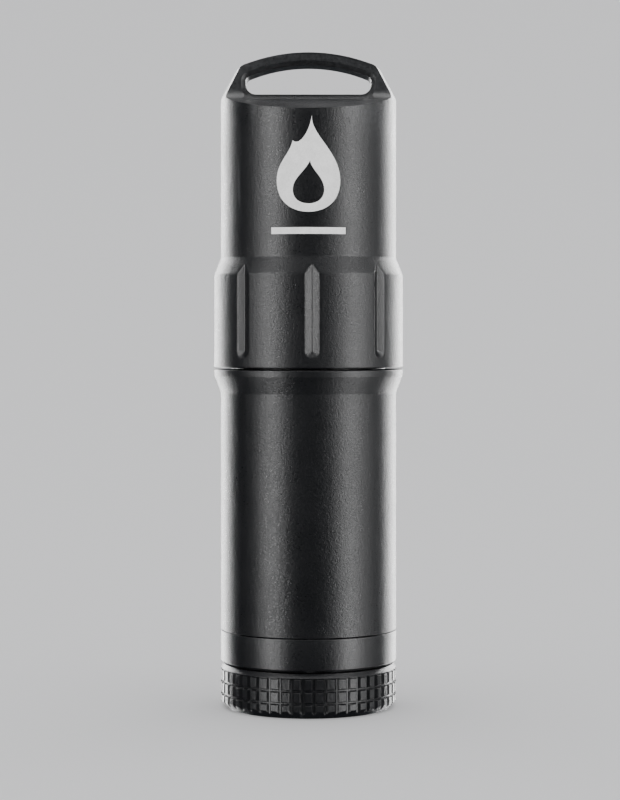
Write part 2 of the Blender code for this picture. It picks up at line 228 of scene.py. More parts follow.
def cut(ob, cutter, operation="DIFFERENCE"):
    """Boolean, applied, and the cutter removed."""
    for solver in ("MANIFOLD", "EXACT"):
        md = ob.modifiers.new("b", "BOOLEAN")
        md.object, md.operation, md.solver = cutter, operation, solver
        bpy.context.view_layer.update()
        me = bpy.data.meshes.new_from_object(ob.evaluated_get(bpy.context.evaluated_depsgraph_get()))
        ob.modifiers.clear()
        if len(me.vertices):
            break
    old = ob.data
    ob.data = me
    bpy.data.meshes.remove(old)
    bpy.data.objects.remove(cutter, do_unlink=True)
    return ob


def soften(ob, width, angle=28.0, segments=2, where=None, sharp=30.0):
    """Breaks the sharp edges by width (mm)."""
    bm = bmesh.new()
    bm.from_mesh(ob.data)
    bmesh.ops.remove_doubles(bm, verts=bm.verts, dist=2e-6)
    bmesh.ops.dissolve_degenerate(bm, dist=1e-6, edges=bm.edges)
    lim = math.radians(angle)
    edges = []
    for e in bm.edges:
        if len(e.link_faces) == 2 and e.calc_face_angle(0) > lim:
            if where is None or all(where(v.co * 1000) for v in e.verts):
                edges.append(e)
    if edges:
        bmesh.ops.bevel(bm, geom=edges, offset=width * 0.001, offset_type="OFFSET", segments=segments,
                        profile=0.5, affect="EDGES", clamp_overlap=True, harden_normals=False)
    bmesh.ops.recalc_face_normals(bm, faces=bm.faces)
    bm.to_mesh(ob.data)
    bm.free()
    ob.data.shade_smooth()
    ob.data.set_sharp_from_angle(angle=math.radians(sharp))
    return ob


def place(ob, x=0.0, y=0.0, z=0.0):
    ob.data.transform(Matrix.Translation((x * 0.001, y * 0.001, z * 0.001)))
    return ob


# ------------------------------------------------------------------ materials
class Nodes:
    def __init__(self, name):
        self.m = bpy.data.materials.new(name)
        self.m.use_nodes = True
        self.t = self.m.node_tree
        self.b = self.t.nodes["Principled BSDF"]
        self.co = self.t.nodes.new("ShaderNodeTexCoord").outputs["Object"]

    def link(self, a, b):
        self.t.links.new(a, b)

    def noise(self, scale, detail=2.0, rough=0.5, stretch=None, dist=0.0):
        n = self.t.nodes.new("ShaderNodeTexNoise")
        n.inputs["Scale"].default_value = scale
        n.inputs["Detail"].default_value = detail
        n.inputs["Roughness"].default_value = rough
        n.inputs["Distortion"].default_value = dist
        src = self.co
        if stretch:
            mp = self.t.nodes.new("ShaderNodeMapping")
            mp.inputs["Scale"].default_value = stretch
            self.link(src, mp.inputs["Vector"])
            src = mp.outputs["Vector"]
        self.link(src, n.inputs["Vector"])
        return n.outputs["Fac"]

    def voronoi(self, scale, feature="F1", out="Distance"):
        n = self.t.nodes.new("ShaderNodeTexVoronoi")
        n.feature = feature
        n.inputs["Scale"].default_value = scale
        self.link(self.co, n.inputs["Vector"])
        return n.outputs[out]

    def ramp(self, fac, *stops):
        n = self.t.nodes.new("ShaderNodeValToRGB")
        el = n.color_ramp.elements
        while len(el) < len(stops):
            el.new(0.5)
        for e, (pos, col) in zip(el, stops):
            e.position = pos
            e.color = (*col, 1.0) if len(col) == 3 else col
        self.link(fac, n.inputs["Fac"])
        return n.outputs["Color"]

    def remap(self, fac, a, b, c, d):
        n = self.t.nodes.new("ShaderNodeMapRange")
        for k, v in zip(("From Min", "From Max", "To Min", "To Max"), (a, b, c, d)):
            n.inputs[k].default_value = v
        self.link(fac, n.inputs["Value"])
        return n.outputs["Result"]

    def math(self, op, a, b):
        n = self.t.nodes.new("ShaderNodeMath")
        n.operation = op
        for i, v in enumerate((a, b)):
            if isinstance(v, (int, float)):
                n.inputs[i].default_value = v
            else:
                self.link(v, n.inputs[i])
        return n.outputs[0]

    def mix(self, fac, a, b):
        n = self.t.nodes.new("ShaderNodeMix")
        n.data_type = "RGBA"
        if isinstance(fac, (int, float)):
            n.inputs["Factor"].default_value = fac
        else:
            self.link(fac, n.inputs["Factor"])
        for k, v in ((6, a), (7, b)):
            if isinstance(v, tuple):
                n.inputs[k].default_value = (*v, 1.0)
            else:
                self.link(v, n.inputs[k])
        return n.outputs[2]

    def bump(self, height, strength, distance_mm, under=None):
        n = self.t.nodes.new("ShaderNodeBump")
        n.inputs["Strength"].default_value = strength
        n.inputs["Distance"].default_value = distance_mm * 0.001
        self.link(height, n.inputs["Height"])
        if under is not None:
            self.link(under, n.inputs["Normal"])
        return n.outputs["Normal"]

    def pointy(self):
        return self.t.nodes.new("ShaderNodeNewGeometry").outputs["Pointiness"]

    def put(self, **kw):
        for k, v in kw.items():
            key = {"color": "Base Color", "rough": "Roughness", "metal": "Metallic", "normal": "Normal",
                   "spec": "Specular IOR Level", "ior": "IOR", "coat": "Coat Weight",
                   "coat_rough": "Coat Roughness", "sheen": "Sheen Weight", "sheen_rough": "Sheen Roughness",
                   "aniso": "Anisotropic", "sss": "Subsurface Weight"}[k]
            s = self.b.inputs[key]
            if isinstance(v, (int, float)):
                s.default_value = v
            elif isinstance(v, tuple):
                s.default_value = (*v, 1.0)
            else:
                self.link(v, s)
        return self.m


def anodised(name, base=0.0048, rough=0.35, grain=0.55, turned=0.0, blue=1.06):
    """Bead-blasted aluminium under black anodising: fine speckle, soft blotches, few light marks."""
    n = Nodes(name)
    fine = n.noise(4300, 3.0, 0.8)
    mid = n.noise(2300, 3.0, 0.6)
    big = n.noise(170, 3.0, 0.55)
    pits = n.ramp(n.voronoi(2600, "F1"), (0.10, (1, 1, 1)), (0.30, (0, 0, 0)))
    streak = n.noise(120, 2.0, 0.5, stretch=(1.0, 1.0, 0.12))
    tone = n.math("ADD", n.remap(fine, 0.3, 0.7, 0.75, 1.3), n.remap(big, 0.3, 0.7, -0.12, 0.12))
    col = n.mix(n.remap(tone, 0.6, 1.5, 0.0, 1.0),
                (base * 0.52, base * 0.56, base * 0.62 * blue), (base * 1.66, base * 1.72, base * 1.84 * blue))
    # small light scuffs, very sparse
    specks = n.ramp(n.voronoi(420, "F1"), (0.0, (1, 1, 1)), (0.045, (0, 0, 0)))
    gate = n.ramp(n.noise(90, 1.0, 0.5), (0.60, (0, 0, 0)), (0.66, (1, 1, 1)))
    hair = n.ramp(n.noise(900, 0.0, 0.5, stretch=(1.0, 1.0, 0.06)), (0.745, (0, 0, 0)), (0.775, (1, 1, 1)))
    mark = n.math("MULTIPLY", n.math("MAXIMUM", specks, n.math("MULTIPLY", hair, 0.5)), gate)
    edge = n.ramp(n.pointy(), (0.53, (0, 0, 0)), (0.62, (1, 1, 1)))
    wear = n.math("ADD", n.math("MULTIPLY", mark, 0.35), n.math("MULTIPLY", n.math("MULTIPLY", edge, n.remap(mid, 0.35, 0.65, 0.25, 1.0)), 0.20))
    col = n.mix(wear, col, (0.115, 0.118, 0.122))
    rr = n.math("ADD", n.remap(fine, 0.3, 0.7, rough - grain * 0.17, rough + grain * 0.17),
                n.math("ADD", n.remap(big, 0.3, 0.7, -0.025, 0.025), n.remap(streak, 0.3, 0.7, -0.012, 0.012)))
    nrm = n.bump(n.math("ADD", n.math("MULTIPLY", fine, 1.0), n.math("SUBTRACT", n.math("MULTIPLY", mid, 0.7), n.math("MULTIPLY", pits, 0.25))), grain, 0.060)
    if turned:
        lines = n.noise(1.0, 1.0, 0.5, stretch=(0.0, 0.0, 9000.0))
        nrm = n.bump(lines, turned, 0.004, nrm)
    return n.put(color=col, rough=rr, normal=nrm, metal=0.0, ior=1.62)


def steel(name, base, rough, scale=2200, bump=0.25, dirt=0.25):
    n = Nodes(name)
    a, b = n.noise(scale, 3.0, 0.6), n.noise(300, 3.0, 0.6)
    col = n.mix(n.remap(b, 0.35, 0.7, 0.0, 1.0), tuple(c * (1 - dirt) for c in base), base)
    return n.put(color=col, metal=1.0, rough=n.remap(a, 0.3, 0.7, rough - 0.07, rough + 0.08),
                 normal=n.bump(a, bump, 0.006))


def turned_metal(name, base, rough, axis=2, bump=0.35, tarnish=None):
    """Lathe-turned metal with fine tool lines around its axis."""
    n = Nodes(name)
    st = [0.0, 0.0, 0.0]
    st[axis] = 9000.0
    lines = n.noise(1.0, 2.0, 0.6, stretch=tuple(st))
    b, c = n.noise(260, 3.0, 0.55), n.noise(3200, 2.0, 0.5)
    dark = tarnish or tuple(x * 0.72 for x in base)
    col = n.mix(n.remap(n.math("ADD", b, n.math("MULTIPLY", n.math("SUBTRACT", lines, 0.5), 0.3)), 0.38, 0.66, 0.0, 1.0), dark, base)
    return n.put(color=col, metal=1.0, rough=n.remap(c, 0.3, 0.7, rough - 0.05, rough + 0.08),
                 normal=n.bump(lines, bump, 0.005))


def rubber(name):
    n = Nodes(name)
    a, b = n.noise(4200, 3.0, 0.6), n.noise(350, 2.0, 0.5)
    col = n.mix(n.remap(b, 0.3, 0.7, 0.0, 1.0), (0.012, 0.012, 0.012), (0.024, 0.023, 0.023))
    return n.put(color=col, rough=n.remap(a, 0.3, 0.7, 0.46, 0.62), normal=n.bump(a, 0.3, 0.01), ior=1.52)


def cotton(name, base, scale, bump, char_z=None):
    n = Nodes(name)
    f = n.noise(scale, 4.0, 0.7, dist=1.2)
    g = n.noise(scale * 0.22, 3.0, 0.6, dist=0.6)
    col = n.mix(n.remap(g, 0.3, 0.7, 0.0, 1.0), tuple(c * 0.80 for c in base), base)
    col = n.mix(n.remap(f, 0.35, 0.65, 0.0, 0.35), col, tuple(c * 0.62 for c in base))
    if char_z is not None:
        sep = n.t.nodes.new("ShaderNodeSeparateXYZ")
        n.link(n.co, sep.inputs[0])
        z = n.math("ADD", sep.outputs["Z"], n.remap(g, 0.3, 0.7, -0.0004, 0.0004))
        col = n.mix(n.remap(z, char_z, char_z + 0.0016, 0.0, 0.85), col, (0.045, 0.035, 0.028))
    return n.put(color=col, rough=0.93, normal=n.bump(n.math("ADD", f, g), bump, 0.06), sheen=0.25, sheen_rough=0.5)


M = {
    "cap": anodised("black_anodised_cap"),
    "body": anodised("black_anodised_body"),
    "ring": anodised("black_anodised_ring", base=0.0054, rough=0.34, grain=0.45, turned=0.12),
    "plug": anodised("black_anodised_plug", base=0.0056, rough=0.36, grain=0.5, turned=0.1),
    "head": turned_metal("machined_aluminium", (0.60, 0.60, 0.62), 0.32, bump=0.28, tarnish=(0.43, 0.43, 0.45)),
    "wheel": steel("hardened_steel", (0.27, 0.26, 0.25), 0.42, dirt=0.45),
    "axle": steel("rivet_steel", (0.56, 0.56, 0.57), 0.26),
    "brass": turned_metal("turned_brass", (0.78, 0.57, 0.26), 0.27, tarnish=(0.60, 0.41, 0.17)),
    "spring": steel("spring_wire", (0.60, 0.60, 0.61), 0.22, scale=5000, bump=0.15),
    "flint": steel("ferrocerium", (0.17, 0.16, 0.155), 0.62, scale=5200, bump=0.7, dirt=0.35),
    "rubber": rubber("nitrile_rubber"),
    "wick": cotton("braided_wick", (0.80, 0.76, 0.66), 3200, 0.6, char_z=0.0594),
    "wad": cotton("cotton_wadding", (0.86, 0.85, 0.81), 1500, 0.9),
    "felt": cotton("pressed_felt", (0.66, 0.63, 0.57), 2600, 0.9),
}


def dress(ob, mat, body, nodes=()):
    ob.data.materials.clear()
    ob.data.materials.append(M[mat] if isinstance(mat, str) else mat)
    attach(ob, body)
    if nodes:
        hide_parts(*nodes)
    return ob


# ------------------------------------------------------------------ cap
R_BODY, R_COLLAR = 10.92, 11.775
FLUTE_A0 = math.radians(-90 + 2.2)
FLUTE_DEEP, FLUTE_HALF = 0.48, 0.92


def smooth_min(a, b, k):
    h = max(k - abs(a - b), 0.0) / k
    return min(a, b) - h * h * k * 0.25


def collar_r(z):
    """Outer radius of the cap from the rim to above the chamfer."""
    edge = 0.16
    r = R_COLLAR
    if z < 42.17 + edge:
        d = (42.17 + edge - z)
        r = R_COLLAR - edge + math.sqrt(max(edge * edge - d * d, 0.0))
    slope = (R_COLLAR - R_BODY) / (55.72 - 53.6)
    r = smooth_min(r, R_COLLAR - (z - 53.6) * slope, 0.07)
    # the foot of the chamfer runs into the barrel
    return -smooth_min(-r, -R_BODY, 0.05)


def cap_skin(a, z):
    r = collar_r(z) if z < 57 else R_BODY
    if 43.0 < z < 55.6:
        k = round((a - FLUTE_A0) / (math.tau / 8))
        off = a - FLUTE_A0 - k * math.tau / 8
        s = R_COLLAR * math.sin(off)
        foot = 44.32
        if z < foot:
            s = math.hypot(s, foot - z)
        s = math.sqrt(s * s + 0.035 ** 2) - 0.035
        floor = R_COLLAR - FLUTE_DEEP + s * FLUTE_DEEP / FLUTE_HALF
        r = smooth_min(r, floor, 0.075)
    return r, z


fine = [-1.25, -1.08, -1.0, -0.95, -0.90, -0.84, -0.76, -0.62, -0.46, -0.30, -0.20, -0.13, -0.08, -0.04, 0.0]
fine = fine + [-v for v in fine[-2::-1]]
angles = []
for k in range(8):
    mid = FLUTE_A0 + k * math.tau / 8
    angles += [mid + v / R_COLLAR for v in fine]
    gap0, gap1 = mid + 1.25 / R_COLLAR, mid + math.tau / 8 - 1.25 / R_COLLAR
    angles += [gap0 + (gap1 - gap0) * j / 11 for j in range(1, 11)]
rows = [42.17, 42.185, 42.21, 42.25, 42.29, 42.33, 42.6, 43.0]
rows += [43.2 + 0.07 * i for i in range(1, 17)] + [44.45, 46.5, 49.0, 51.5]
rows += [53.3, 53.45, 53.52, 53.58, 53.64, 53.7, 53.8, 53.95, 54.1, 54.25, 54.4, 54.5, 54.6, 54.68, 54.76, 54.84, 54.92,
         55.0, 55.1, 55.25, 55.45, 55.58, 55.66, 55.71, 55.76, 55.82, 55.9, 56.2]
rows += [60.0, 64.0, 68.0, 72.0, 75.2]
# the barrel turns into the top cone, its rounded edge and the shallow dome
dome_c = 81.3 - 21.8
tip = fillet([(R_BODY, 74.0, 0), (R_BODY, 75.5, 1.2), (8.98, 79.12, 0)], closed=False)[1:-1]
tip += [(9.13, 78.84), (9.03, 79.03), (8.90, 79.22), (8.74, 79.40), (8.54, 79.55), (8.30, 79.68)]
tip += [(21.8 * math.sin(math.radians(d)), dome_c + 21.8 * math.cos(math.radians(d)))
        for d in (20.5, 18, 15, 12, 9, 6, 3, 1)]
tip_rows = [("tip", i) for i in range(len(tip))]


def cap_fun(a, z):
    if isinstance(z, tuple):
        return tip[z[1]]
    return cap_skin(a, z)


cap = grid("cap_shell", angles, rows + tip_rows, cap_fun)

# the milled front and back of the loop
for side in (-1, 1):
    prof = [(2.55, 83.0), (2.60, 79.8), (3.22, 76.62)] + arc(4.80, 76.80, 1.6, 187, 255, 12)[0:] + \
        [(R_BODY + 0.1, 73.45), (13.5, 72.77), (13.5, 83.0)]
    cut(cap, prism("c", prof, 14.0, lambda u, v, w, s=side: (w, s * u, v)))

# the opening under the bar, with a chamfer all round on each face
SLOT_HALF, SLOT_FLOOR, SLOT_APEX, SLOT_ARC = 7.78, 75.9, 79.6, 20.0


def slot_outline(grow):
    """The opening's outline, grown outwards by grow mm, with a fixed number of points."""
    h, f, rad = SLOT_HALF + grow, SLOT_FLOOR - grow, 1.3 + grow
    arc_r, cz = SLOT_ARC + grow, SLOT_APEX - SLOT_ARC
    pts = arc(-h + rad, f + rad, rad, 180, 270, 10) + arc(h - rad, f + rad, rad, 270, 360, 10)
    # upper corner: from the side to the arc with a radius of its own
    rc = 0.75 + grow * 0.9
    # centre of the corner circle: rc inside the side and rc inside the arc
    cx = h - rc
    cc = cz + math.sqrt((arc_r - rc) ** 2 - cx * cx)
    a_end = math.degrees(math.atan2(cc - cz, cx))
    right = arc(cx, cc, rc, 0, a_end, 8)
    top = [(arc_r * math.cos(math.radians(t)), cz + arc_r * math.sin(math.radians(t)))
           for t in [a_end + (180 - 2 * a_end) * k / 28 for k in range(1, 28)]]
    left = [(-x, z) for x, z in right[::-1]]
    return pts + right + top + left


def face_y(z):
    """Half-thickness of the loop's drafted face."""
    return 2.60 + (79.8 - z) * (3.22 - 2.60) / (79.8 - 76.62) if z < 79.8 else 2.58


def chamfered_slot(depth=0.55):
    rings = []
    base = slot_outline(0.0)
    wide = slot_outline(depth)
    wider = slot_outline(depth + 1.2)
    order = [
        [(x, -(face_y(z) + 1.2), z) for (x, z) in wider],
        [(x, -face_y(z), z) for (x, z) in wide],
        [(x, -(face_y(z) - depth), z) for (x, z) in base],
        [(x, (face_y(z) - depth), z) for (x, z) in base],
        [(x, face_y(z), z) for (x, z) in wide],
        [(x, face_y(z) + 1.2, z) for (x, z) in wider],
    ]
    return loft("c", order)


cut(cap, chamfered_slot())
soften(cap, 0.11, angle=24.0, segments=2, where=lambda p: p.z > 73.2)

# bore, with the gasket seat and the thread
bore = lathe("c", fillet([(0, 40.0), (9.98, 40.0, 0), (9.98, 42.17, 0), (9.90, 42.27, 0), (9.90, 45.1, 0.1), (9.75, 45.25, 0.1),
                          (9.75, 51.5, 0), (8.30, 51.5, 0.12), (8.30, 71.2, 0.4), (7.3, 72.2, 0.4), (0, 72.2)],
                         closed=False), 144, closed=False)
cut(cap, bore)
cut(cap, ridges("c", 9.75, 9.05, 1.15, 0.5, 46.1, 50.6, 6.0, 3), "UNION")
cap.data.shade_smooth()
cap.data.set_sharp_from_angle(angle=math.radians(34))
dress(cap, "cap", "cap_body", ("cap",))

gasket = lathe("cap_gasket_ring", fillet([(9.0, 51.3, 0.14), (9.0, 50.55, 0.14), (8.0, 50.55, 0.14), (8.0, 51.3, 0.14)]), 120)
dress(gasket, "rubber", "cap_rise_body", ("cap_gasket",))

# ------------------------------------------------------------------ body
body = lathe("body_shell", fillet([
    (7.60, 50.3, 0.12), (8.55, 50.3, 0.08), (8.75, 50.1, 0.08), (8.75, 45.25, 0.18), (9.60, 44.9, 0.08),
    (9.60, 44.5, 0.05), (8.35, 44.5, 0.12), (8.35, 43.0, 0.12), (9.60, 43.0, 0.05), (9.60, 41.93, 0.10),
    (R_COLLAR - 0.015, 41.93, 0.11), (R_COLLAR - 0.055, 41.12, 0.25), (R_BODY, 39.04, 0.6), (R_BODY, 9.70, 0.08),
    (9.40, 9.70, 0.05), (9.40, 13.4, 0.05), (8.4, 13.4, 0.1), (8.4, 38.3, 0.8), (6.90, 40.3, 0.3),
    (6.90, 43.9, 0.05), (7.60, 43.9, 0.05)]), 200)
cut(body, ridges("c", 8.75, 9.50, 1.15, 0.5, 46.1, 49.5, 6.0, 3, offset=-1.0), "UNION")
body.data.shade_smooth()
body.data.set_sharp_from_angle(angle=math.radians(34))
dress(body, "body", "barrel", ("body",))


def oring(name, r, s, z, body_name, node, seg=144):
    """O-ring with a hair of moulding flash at its middle."""
    pts = []
    for k in range(20):
        a = -math.tau * k / 20
        bulge = 1.0 + (0.035 if k in (0, 10) else 0.0)
        pts.append((r + s * bulge * math.cos(a), z + s * math.sin(a)))
    return dress(lathe(name, pts, seg), "rubber", body_name, (node,))


oring("neck_oring_seal", 9.05, 0.54, 43.75, "barrel", "neck_oring")
oring("plug_oring_seal", 7.85, 0.465, 6.05, "plug_travel_body", "plug_oring")
oring("head_oring_seal", 7.16, 0.35, 47.55, "barrel", "head_oring")

# ------------------------------------------------------------------ base ring
ring = lathe("base_ring_shell", fillet([
    (8.05, 13.1, 0.08), (9.0, 13.1, 0.05), (9.15, 12.95, 0.05), (9.15, 9.60, 0), (R_BODY, 9.60, 0.07),
    (R_BODY, 5.90, 0.07), (10.46, 5.54, 0.04), (8.50, 5.54, 0.05), (8.50, 6.9, 0.05), (8.05, 6.97, 0.05)]), 200)
cut(ring, ridges("c", 8.05, 7.45, 0.70, 0.30, 7.6, 12.2, 1.25, 1), "UNION")
ring.data.shade_smooth()
ring.data.set_sharp_from_angle(angle=math.radians(34))
dress(ring, "ring", "barrel", ("base_ring",))

# ------------------------------------------------------------------ knurled plug
K = 48
K_OFF = 0.5


def smax(a, b, k):
    return -smooth_min(-a, -b, k)


def plug_r(z):
    """Outer radius of the plug head without its grooves."""
    low = 10.10 + 0.82 * z / 0.88
    top = R_BODY - 0.03 - (z - 4.90) * (R_BODY - 0.03 - 10.52) / (5.42 - 4.90)
    return smooth_min(smooth_min(low, R_BODY, 0.06), top, 0.04)


def groove(d, half, deep, floor_half):
    """Depth of a groove with sloping walls and a flat floor, at a distance d from its middle."""
    return max(0.0, min(deep, deep * (half - abs(d)) / (half - floor_half)))


def plug_skin(a, z):
    r = plug_r(z)
    if z < 4.93:
        u = (a * K / math.tau + K_OFF) % 1.0
        s = min(u, 1.0 - u) * math.tau * R_BODY / K
        h = max(groove(z - 1.83, 0.21, 0.31, 0.09), groove(z - 3.35, 0.21, 0.31, 0.09), groove(z - 4.82, 0.10, 0.17, 0.03))
        v = groove(s, 0.34, 0.33, 0.12) * (1.0 if z < 4.80 else max(0.0, (4.92 - z) / 0.12))
        r = smooth_min(r, R_BODY - max(v, h), 0.02)
    return r, z


per = [v / 1.4294 for v in (0.0, 0.11, 0.135, 0.32, 0.345, 0.375, 0.7147)]
us = sorted({round(v, 6) for v in per + [1 - v for v in per if v > 0]})
p_angles = []
for k in range(K):
    for u in us:
        p_angles.append((k + u - K_OFF) * math.tau / K)
p_rows = [0.0, 0.05, 0.15, 0.27, 0.39, 0.50, 0.60, 0.69, 0.77, 0.83, 0.87, 0.91, 0.96, 1.05]
for zc in (1.83, 3.35):
    p_rows += [zc + d for d in (-0.26, -0.225, -0.20, -0.10, -0.08, 0.0, 0.08, 0.10, 0.20, 0.225, 0.26)]
p_rows += [4.66, 4.705, 4.73, 4.785, 4.80, 4.84, 4.86, 4.90, 4.925, 4.95, 5.05, 5.25, 5.38, 5.42]
plug = grid("fuel_plug_shell", p_angles, p_rows, plug_skin)
spig = lathe("c", fillet([(0, 5.0), (7.20, 5.0, 0), (7.20, 10.75, 0.05), (6.95, 11.0, 0.05), (0, 11.0)][::-1], closed=False), 144, closed=False)
cut(plug, spig, "UNION")
cup = lathe("c", fillet([(0, 12.0), (6.2, 12.0, 0), (6.0, 10.85, 0.05), (6.0, 4.5, 0.5), (0, 4.5)], closed=False), 120, closed=False)
cut(plug, cup)
cut(plug, ridges("c", 7.20, 7.85, 0.70, 0.30, 7.6, 10.3, 1.25, 1, offset=-0.625), "UNION")
plug.data.shade_smooth()
plug.data.set_sharp_from_angle(angle=math.radians(26))
dress(plug, "plug", "plug_body", ("fuel_plug",))

# ------------------------------------------------------------------ lighter head
WX, WZ, WR = -2.4, 59.4, 3.4
KX = 3.4
head = lathe("head_block", fillet([
    (0, 54.0), (6.90, 54.0, 0.22), (6.90, 50.3, 0.12), (7.40, 50.2, 0.1), (7.40, 48.2, 0.05), (6.75, 48.2, 0.1),
    (6.75, 46.9, 0.1), (7.40, 46.9, 0.05), (7.40, 44.1, 0.18), (0, 44.1)], closed=False), 160, closed=False)
for x, r, z0, segs in ((WX, 2.10, 43.0, 56), (KX, 1.75, 43.0, 56)):
    hole = lathe("c", [(0, 54.6), (r + 0.8, 54.6), (r, 53.8), (r, z0), (0, z0)], segs, closed=False)
    cut(head, place(hole, x))
for side in (-1, 1):
    outline = [(-5.4, 53.5), (-0.5, 53.5), (-0.5, 55.2), (-0.35, 57.4)] + arc(WX, WZ, 2.0, -6, 186, 22) + [(-4.9, 57.0), (-5.4, 55.6)]
    cheek = prism("c", outline, 0.65, lambda u, v, w, s=side: (u, s * 2.75 + w, v))
    cut(head, cheek, "UNION")
axle_hole = lathe("c", [(0, 4.6), (0.85, 4.6), (0.85, -4.6), (0, -4.6)], 36, closed=False)
axle_hole.data.transform(Matrix.Rotation(math.pi / 2, 4, "X"))
cut(head, place(axle_hole, WX, 0, WZ))
soften(head, 0.10, angle=40.0, segments=2, where=lambda p: p.z > 53.4)
dress(head, "head", "barrel", ("lighter_head",))

# ------------------------------------------------------------------ spark wheel
TEETH = 26


def tri(x):
    x = x % 1.0
    return 1.0 - abs(2 * x - 1.0)


def wheel_mesh():
    cols, rws = TEETH * 8, 30
    verts, idx = [], []
    half = 1.8
    ws = [-half + 0.10 + (2 * half - 0.20) * i / rws for i in range(rws + 1)]
    rows = [(-half, WR - 0.55, False)] + [(w, WR, True) for w in ws] + [(half, WR - 0.55, False)]
    for w, r, cutit in rows:
        row = []
        for k in range(cols):
            a = math.tau * k / cols
            rr = r
            if cutit:
                u = a * TEETH / math.tau
                g1 = tri(u + w * 0.85)
                g2 = tri(u - w * 0.85)
                rr = r - 0.30 * (1 - min(g1, g2)) ** 1.3
                edge = max(0.0, abs(w) - (half - 0.35)) / 0.25
                rr -= 0.22 * min(1.0, edge) ** 2
            row.append(len(verts))
            verts.append((rr * math.cos(a), w, rr * math.sin(a)))
        idx.append(row)
    faces = []
    for a, b in zip(idx, idx[1:]):
        for i in range(cols):
            j = (i + 1) % cols
            faces.append((a[i], b[i], b[j], a[j]))
    for row, flip in ((idx[0], False), (idx[-1], True)):
        w = verts[row[0]][1]
        c = len(verts)
        verts.append((0, w, 0))
        for i in range(cols):
            j = (i + 1) % cols
            faces.append((row[i], row[j], c) if flip else (row[j], row[i], c))
    return obj_from("spark_wheel_toothed", verts, faces, sharp=50)


wheel = wheel_mesh()
# dished sides around the hub, and the bore
dish = lathe("c", fillet([(1.55, 2.2), (2.45, 2.2, 0), (2.35, 1.55, 0.1), (1.65, 1.55, 0.1)]), 64)
dish.data.transform(Matrix.Rotation(math.pi / 2, 4, "X"))
cut(wheel, dish)
dish = lathe("c", fillet([(1.55, -2.2), (1.65, -1.55, 0.1), (2.35, -1.55, 0.1), (2.45, -2.2, 0)]), 64)
dish.data.transform(Matrix.Rotation(math.pi / 2, 4, "X"))
cut(wheel, dish)
wb = lathe("c", [(0, 2.5), (1.0, 2.5), (1.0, -2.5), (0, -2.5)], 40, closed=False)
wb.data.transform(Matrix.Rotation(math.pi / 2, 4, "X"))
cut(wheel, wb)
wheel.data.shade_smooth()
wheel.data.set_sharp_from_angle(angle=math.radians(45))
place(wheel, WX, 0, WZ)
dress(wheel, "wheel", "wheel_body", ("spark_wheel",))

axle = lathe("wheel_rivet", fillet([(0, 4.28), (0.7, 4.24, 0.1), (1.18, 3.98, 0.2), (1.35, 3.55, 0.08), (0.72, 3.55, 0.02), (0.72, -3.55, 0.02),
                                    (1.35, -3.55, 0.08), (1.18, -3.98, 0.2), (0.7, -4.24, 0.1), (0, -4.28)], closed=False), 64, closed=False)
axle.data.transform(Matrix.Rotation(math.pi / 2, 4, "X"))
place(axle, WX, 0, WZ)
dress(axle, "axle", "barrel", ("wheel_axle",))

# ------------------------------------------------------------------ flint system
tube = lathe("flint_tube_brass", fillet([(1.40, 54.9, 0.12), (1.95, 54.9, 0.14), (1.95, 14.2, 0.1), (1.40, 14.2, 0.1)]), 64)
dress(place(tube, WX), "brass", "barrel", ("flint_tube",))


def flint_r(r, a, z):
    return r + 0.012 * noise.noise(Vector((r * math.cos(a) * 2.2, r * math.sin(a) * 2.2, z * 2.2))) - 0.012


fl = fillet([(0, 55.75), (1.2, 55.75, 0.12), (1.2, 50.7, 0.1), (0, 50.7)], closed=False)
fl = [fl[0], (0.5, 55.75)] + fl[1:]
long = []
for p, q in zip(fl, fl[1:]):
    long.append(p)
    if abs(p[1] - q[1]) > 1.5:
        long += [(p[0], p[1] + (q[1] - p[1]) * i / 14) for i in range(1, 14)]
long.append(fl[-1])
flint = lathe("flint_rod", long, 40, closed=False, rfun=flint_r)
dress(place(flint, WX), "flint", "flint_body", ("flint",))

pusher = lathe("flint_pusher_tip", fillet([(0, 50.4), (1.2, 50.4, 0.12), (1.2, 48.25, 0.1), (0.6, 48.2, 0.05), (0.6, 45.9, 0.2), (0, 45.85)],
                                          closed=False), 48, closed=False)
dress(place(pusher, WX), "brass", "flint_body", ("flint_pusher",))


def coil(name, r, wire, z0, z1, turns, per=36, sides=10, dead=1.25):
    """Compression spring with closed ends, as a swept mesh."""
    n = int(turns * per)
    pts = []
    for i in range(n + 1):
        t = i / per
        # dead coils at each end lie a wire apart
        rest = turns - 2 * dead
        if t < dead:
            z = z0 + wire * 2.06 * t
        elif t > turns - dead:
            z = z1 - wire * 2.06 * (turns - t)
        else:
            a0, a1 = z0 + wire * 2.06 * dead, z1 - wire * 2.06 * dead
            z = a0 + (a1 - a0) * (t - dead) / rest
        pts.append(Vector((r * math.cos(math.tau * t), r * math.sin(math.tau * t), z)))
    verts, rings = [], []
    for i, p in enumerate(pts):
        d = (pts[min(i + 1, n)] - pts[max(i - 1, 0)]).normalized()
        out = Vector((p.x, p.y, 0)).normalized()
        up = d.cross(out).normalized()
        out = up.cross(d).normalized()
        ring = []
        for s in range(sides):
            b = math.tau * s / sides
            q = p + (out * math.cos(b) + up * math.sin(b)) * wire
            ring.append(len(verts))
            verts.append(tuple(q))
        rings.append(ring)
    faces = [tuple(rings[0][::-1]), tuple(rings[-1])]
    for a, b in zip(rings, rings[1:]):
        for i in range(sides):
            j = (i + 1) % sides
            faces.append((a[i], a[j], b[j], b[i]))
    return obj_from(name, verts, faces, sharp=60)


spring = coil("flint_spring_coil", 0.98, 0.19, 18.75, 47.75, 14)
place(spring, WX)
dress(spring, "spring", "spring_body", ("flint_spring",))
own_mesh(spring)

